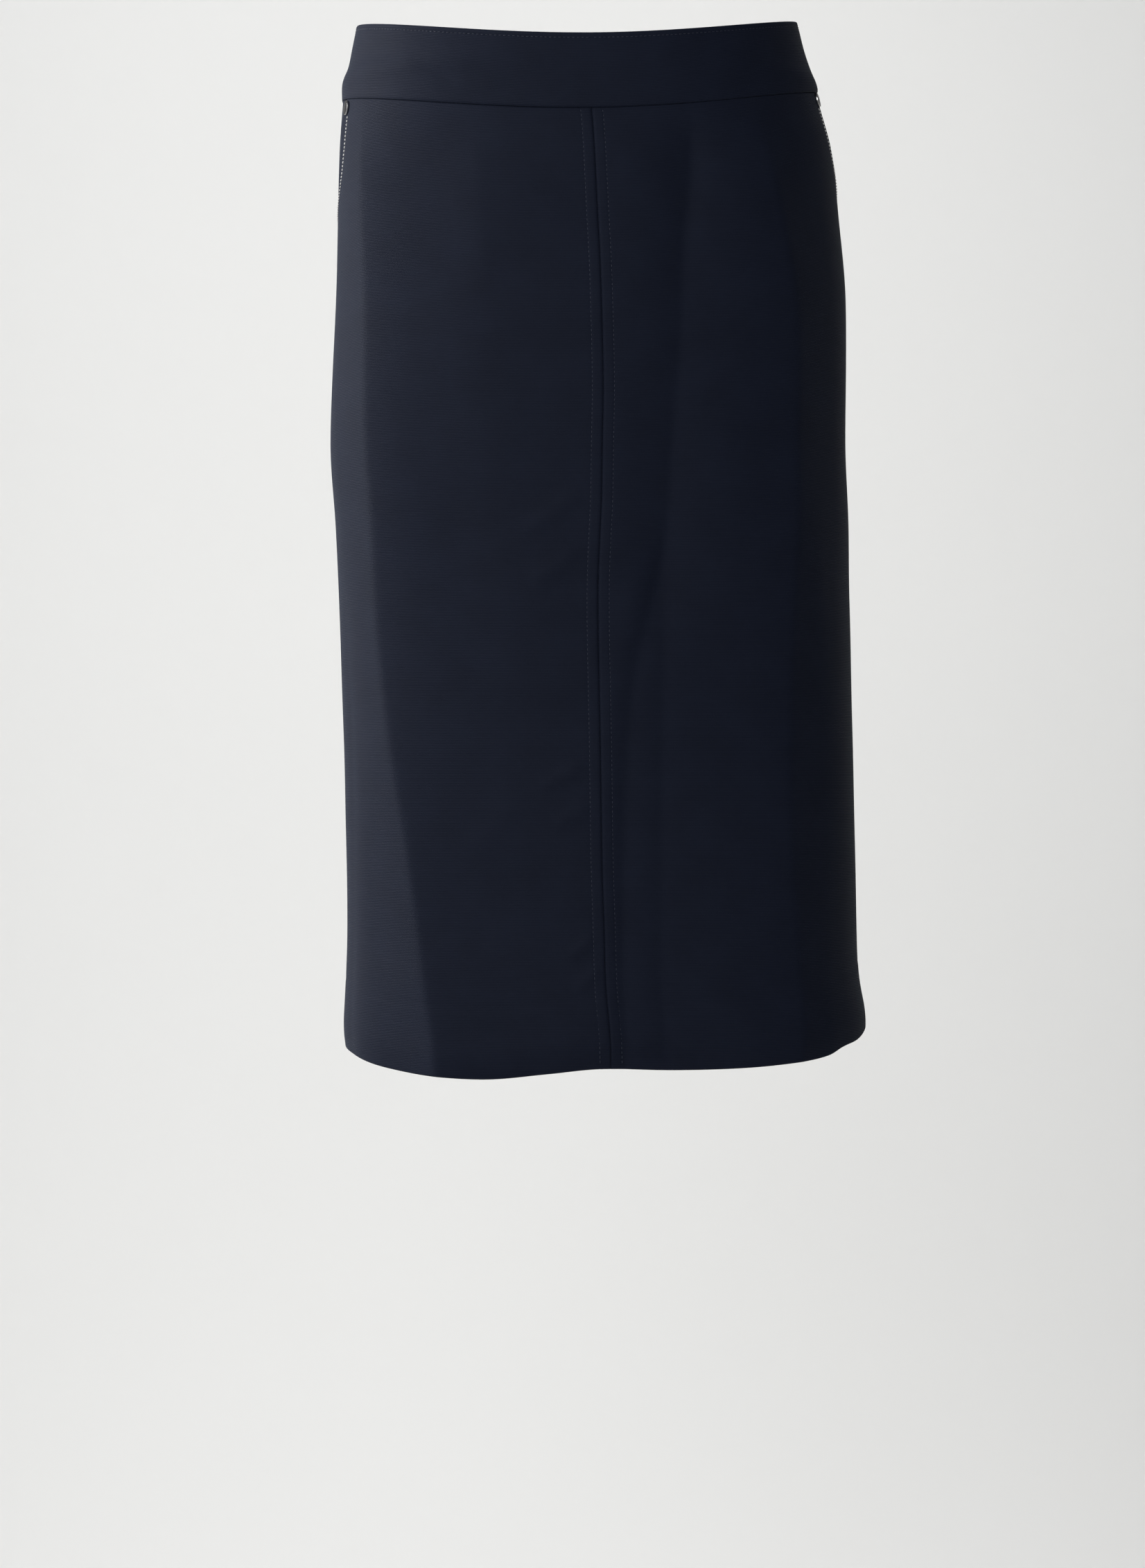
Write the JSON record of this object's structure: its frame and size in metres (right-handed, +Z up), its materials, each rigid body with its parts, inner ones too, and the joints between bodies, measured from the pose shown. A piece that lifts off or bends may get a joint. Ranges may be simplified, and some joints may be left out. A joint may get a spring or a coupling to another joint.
{
  "type": "pencil skirt",
  "caption": "Knee-length pencil skirt in its worn, hollow form, with a shaped waistband, seamed front, scooped hip pockets and a centre back zip.",
  "frame": {"origin": "middle of the waist opening, level with the waistband's upper edge at the side", "axes": "+Z up, the front faces -Y, +X towards the wearer's left"},
  "size_m": [0.3628, 0.2642, 0.7124],
  "materials": {
    "cloth": "matt, fine cross ribs",
    "zip_tape": "matt",
    "metal": "satin nickel"
  },
  "bodies": {
    "skirt": {"front_left": "cloth", "front_right": "cloth", "back_left": "cloth", "back_right": "cloth", "hip_piece_left": "cloth", "hip_piece_right": "cloth", "waistband_front": "cloth", "waistband_back_left": "cloth", "waistband_back_right": "cloth", "zip_tape_left": "zip_tape", "zip_tape_right": "zip_tape", "rivet_left": "metal", "rivet_right": "metal", "zip_slider": "metal"},
    "pull": {"zip_pull": "metal"}
  },
  "joints": [
    {"name": "pull_hinge", "type": "hinge", "parent": "skirt", "child": "pull", "pos_m": [-0.00094, 0.11172, -0.00176], "axis": [0.9998, -0.0061, 0.0163], "range_deg": [0, 150]}
  ]
}
